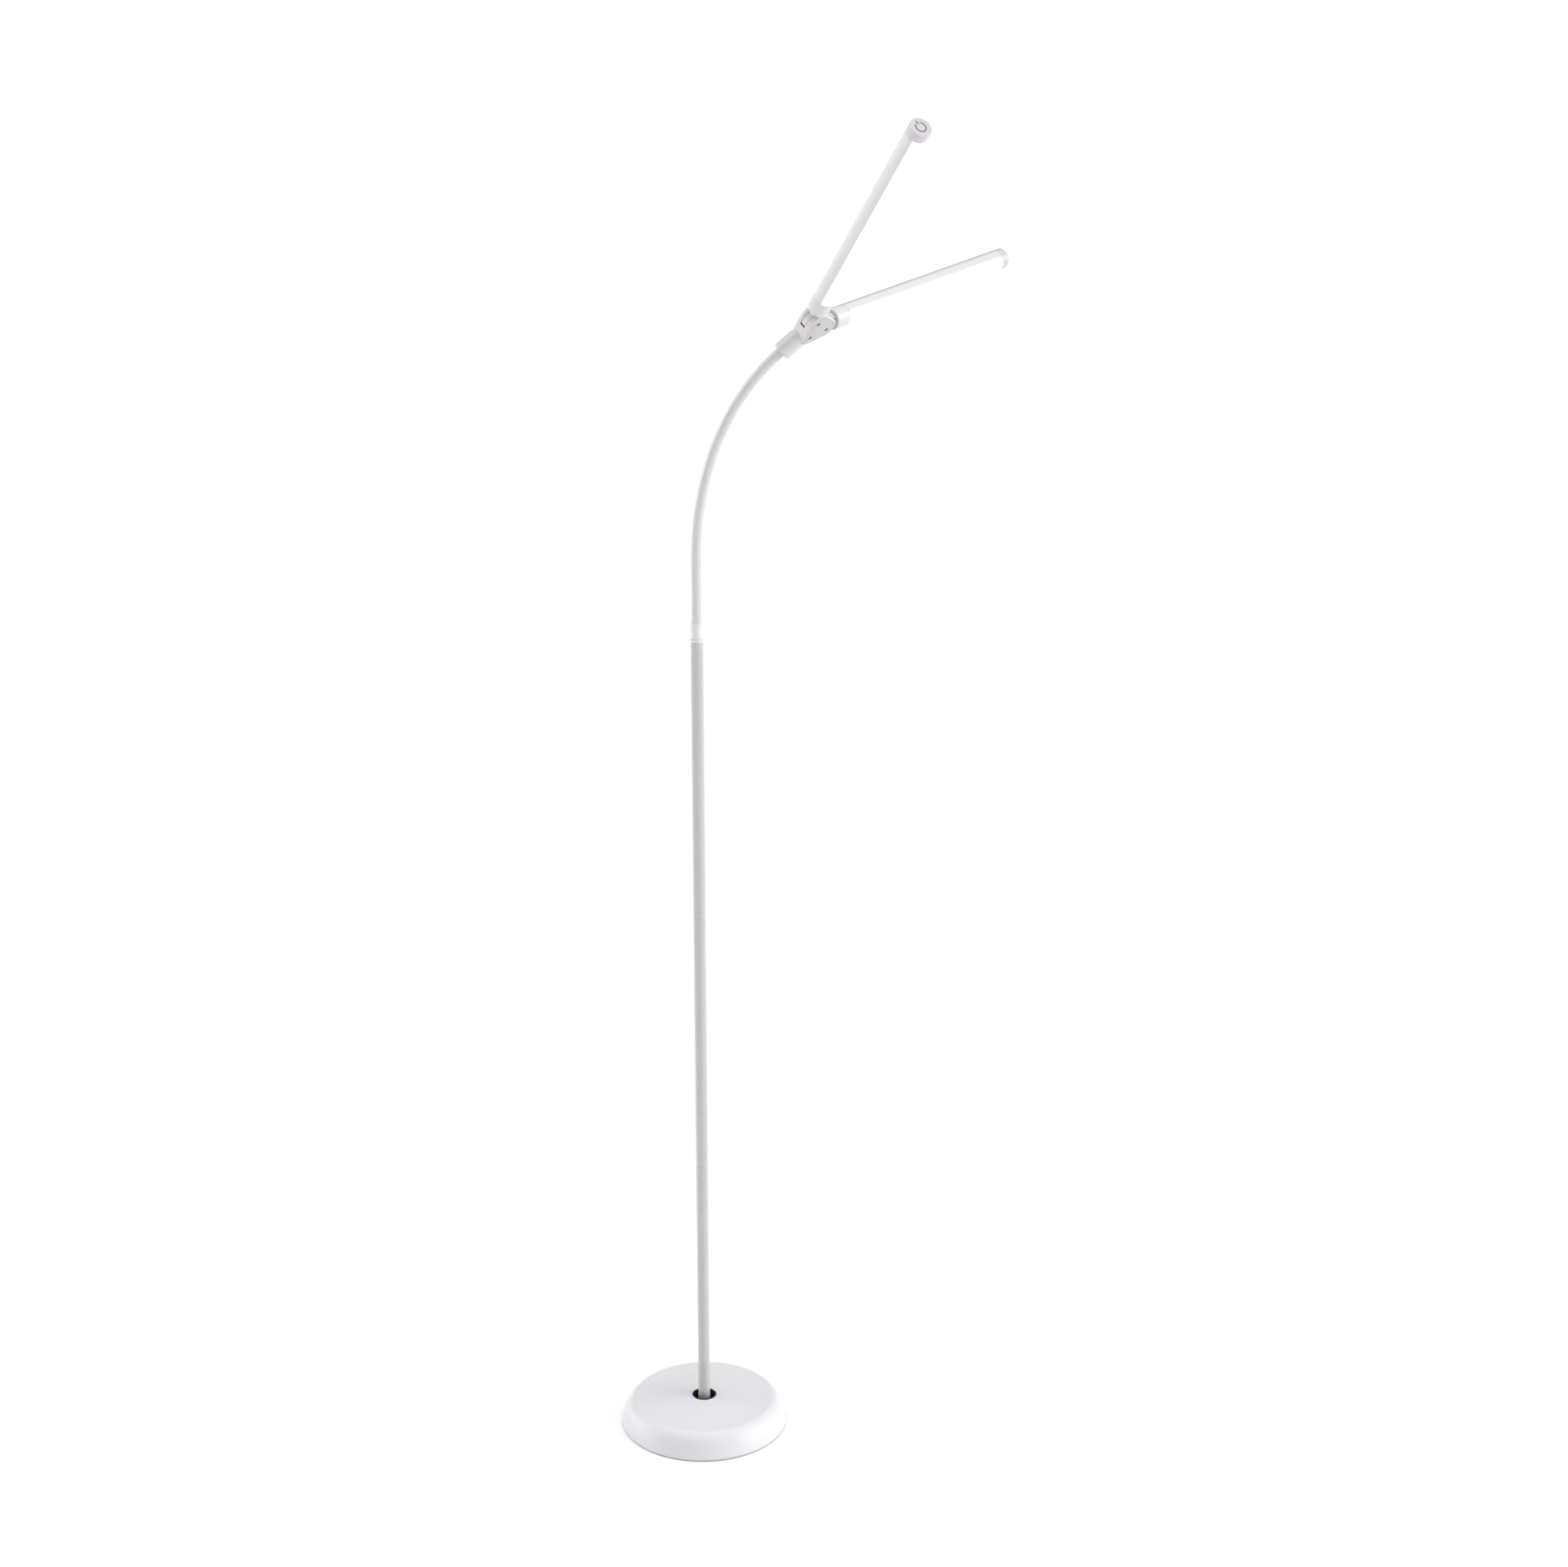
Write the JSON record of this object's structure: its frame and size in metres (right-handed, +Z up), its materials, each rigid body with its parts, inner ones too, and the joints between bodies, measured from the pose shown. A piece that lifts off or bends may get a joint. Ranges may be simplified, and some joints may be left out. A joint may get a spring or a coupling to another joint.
{
  "type": "adjustable arm floor lamp",
  "caption": "Floor lamp with a weighted dome base, a sectional pole, a flexible gooseneck and a turning head whose tubular LED arms swing apart on their own pivots.",
  "frame": {"origin": "on the floor at the middle of the base, under the pole", "axes": "+Z up along the pole, +X the way the gooseneck bends, so the light arms spread to either side of +X"},
  "size_m": [0.49, 0.5036, 1.7095],
  "materials": {
    "white_paint": "satin white enamel",
    "white_plastic": "white, gloss moulded",
    "sleeve_white": "soft white silicone sleeve over steel hose",
    "diffuser": "opal, lit from behind",
    "leds": "lit chips",
    "nickel": "satin nickel plate",
    "steel": "bare zinc-plated sheet",
    "iron": "rough casting",
    "pad": "black foam rubber",
    "black_plastic": "black moulded",
    "board_white": "white solder mask",
    "board_green": "green solder mask",
    "lead_black": "black insulated lead",
    "mark_grey": "grey printed mark"
  },
  "bodies": {
    "stand": {"base_pad": "pad", "base_plate": "steel", "base_weight": "iron", "base_shell": "white_paint", "base_screws": "nickel", "recess_cup": "black_plastic", "pole_stub": "nickel", "stub_nut": "nickel", "dc_inlet": "black_plastic", "pole_lower": "white_paint", "pole_middle": "white_paint", "pole_upper": "white_paint", "coupler_lower": "steel", "coupler_upper": "steel", "pole_ring": "white_paint", "neck_connector": "white_paint", "pole_lead": "lead_black", "neck_root": "sleeve_white"},
    "neck_1": {"neck_link_1": "sleeve_white"},
    "neck_2": {"neck_link_2": "sleeve_white"},
    "neck_3": {"neck_link_3": "sleeve_white"},
    "neck_4": {"neck_link_4": "sleeve_white"},
    "neck_5": {"neck_link_5": "sleeve_white"},
    "neck_6": {"neck_link_6": "sleeve_white", "neck_ferrule": "nickel"},
    "head": {"neck_collar": "white_plastic", "hub_body": "white_plastic", "hub_cover": "white_plastic", "hub_screws": "steel", "pivot_bushes": "steel", "friction_washers": "black_plastic", "control_board": "board_green"},
    "arm_1": {"arm_1_knuckle": "white_plastic", "arm_1_sleeve": "white_plastic", "arm_1_shell": "white_paint", "arm_1_lens": "diffuser", "arm_1_led_board": "board_white", "arm_1_leds": "leds", "arm_1_lead": "lead_black", "arm_1_end_cap": "white_plastic", "touch_sensor": "board_green", "touch_symbol": "mark_grey"},
    "arm_2": {"arm_2_knuckle": "white_plastic", "arm_2_sleeve": "white_plastic", "arm_2_shell": "white_paint", "arm_2_lens": "diffuser", "arm_2_led_board": "board_white", "arm_2_leds": "leds", "arm_2_lead": "lead_black", "arm_2_end_cap": "white_plastic"}
  },
  "joints": [
    {"name": "neck_sway", "type": "hinge", "parent": "stand", "child": "neck_1", "pos_m": [0, 0, 1.158], "axis": [1, 0, 0], "range_deg": [-15, 15]},
    {"name": "neck_bend", "type": "hinge", "parent": "neck_1", "child": "neck_2", "pos_m": [0.00181, 0, 1.20796], "axis": [0, 1, 0], "range_deg": [-11.21, 16.15]},
    {"name": "neck_sway_3", "type": "hinge", "parent": "neck_2", "child": "neck_3", "pos_m": [0.00848, 0, 1.25748], "axis": [0.9809, 0, -0.1944], "range_deg": [-15.01, 15.01]},
    {"name": "neck_bend_4", "type": "hinge", "parent": "neck_3", "child": "neck_4", "pos_m": [0.02169, 0, 1.30566], "axis": [0, 1, 0], "range_deg": [-17.34, 24.97]},
    {"name": "neck_sway_5", "type": "hinge", "parent": "neck_4", "child": "neck_5", "pos_m": [0.042, 0, 1.35129], "axis": [0.8785, 0, -0.4777], "range_deg": [-15.01, 15.01]},
    {"name": "neck_bend_6", "type": "hinge", "parent": "neck_5", "child": "neck_6", "pos_m": [0.0695, 0, 1.39297], "axis": [0, 1, 0], "range_deg": [-20.08, 28.92]},
    {"name": "head_turn", "type": "hinge", "parent": "neck_6", "child": "head", "pos_m": [0.13384, 0, 1.45568], "axis": [0.7501, 0, 0.6613], "range_deg": [-66.6, 113.4]},
    {"name": "arm_1_swing", "type": "hinge", "parent": "head", "child": "arm_1", "pos_m": [0.14215, -0.01423, 1.47121], "axis": [-0.6069, 0.3971, 0.6884], "range_deg": [-46.6, 43.4]},
    {"name": "arm_2_swing", "type": "hinge", "parent": "head", "child": "arm_2", "pos_m": [0.15029, 0.01423, 1.46197], "axis": [-0.6069, 0.3971, 0.6884], "range_deg": [-53.3, 36.7]}
  ],
  "couplings": [
    {"joint": "neck_sway_3", "follows": "neck_sway", "ratio": 1},
    {"joint": "neck_bend_4", "follows": "neck_bend", "ratio": 1.5455},
    {"joint": "neck_sway_5", "follows": "neck_sway", "ratio": 1},
    {"joint": "neck_bend_6", "follows": "neck_bend", "ratio": 1.7898}
  ]
}
